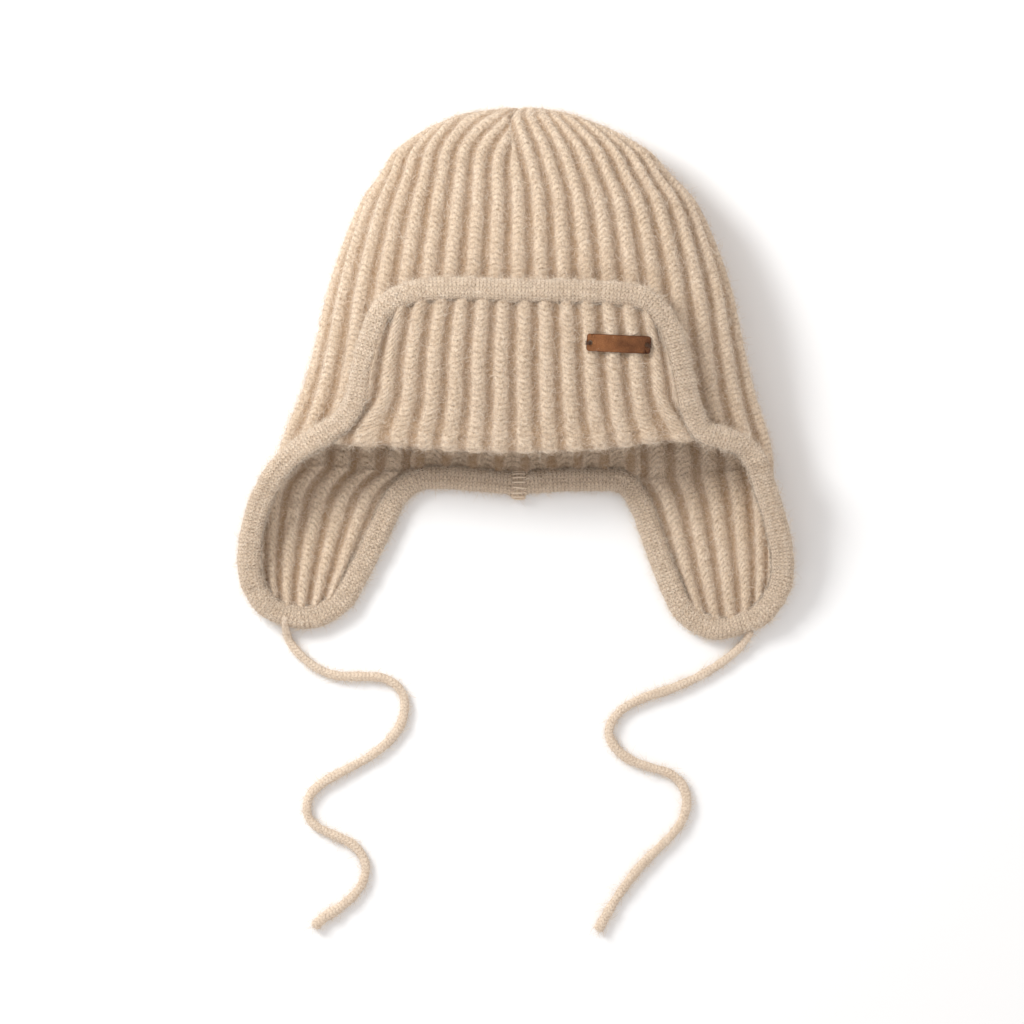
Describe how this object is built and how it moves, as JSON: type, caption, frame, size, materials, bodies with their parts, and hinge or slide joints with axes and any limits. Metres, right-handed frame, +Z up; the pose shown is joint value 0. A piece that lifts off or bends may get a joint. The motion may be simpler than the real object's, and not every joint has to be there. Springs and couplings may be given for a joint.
{
  "type": "knitted earflap hat",
  "caption": "Chunky ribbed knit hat lying on its back, with a turned-up front flap, cupped ear flaps, a padded bound edge, thin ties and a bare leather tag.",
  "frame": {"origin": "on the floor under the middle of the hat's own box, measured without its two ties", "axes": "+Z up from the floor that the back of the hat lies on, +Y towards the gathered top of the crown, +X towards the ear flap on the side of the tag"},
  "size_m": [0.2774, 0.413, 0.0601],
  "materials": {
    "knit": "soft ribbed wool knit, slightly brushed",
    "binding": "fine padded knit",
    "tie": "fine knitted cord",
    "leather": "smooth vegetable-tanned leather",
    "thread": "waxed thread"
  },
  "bodies": {
    "root": {"crown": "knit", "front_flap": "knit", "ear_flap_left": "knit", "ear_flap_right": "knit", "edge_binding": "binding", "tag": "leather", "tag_stitch_left": "thread", "tag_stitch_right": "thread", "tie_left": "tie", "tie_right": "tie"}
  },
  "joints": []
}
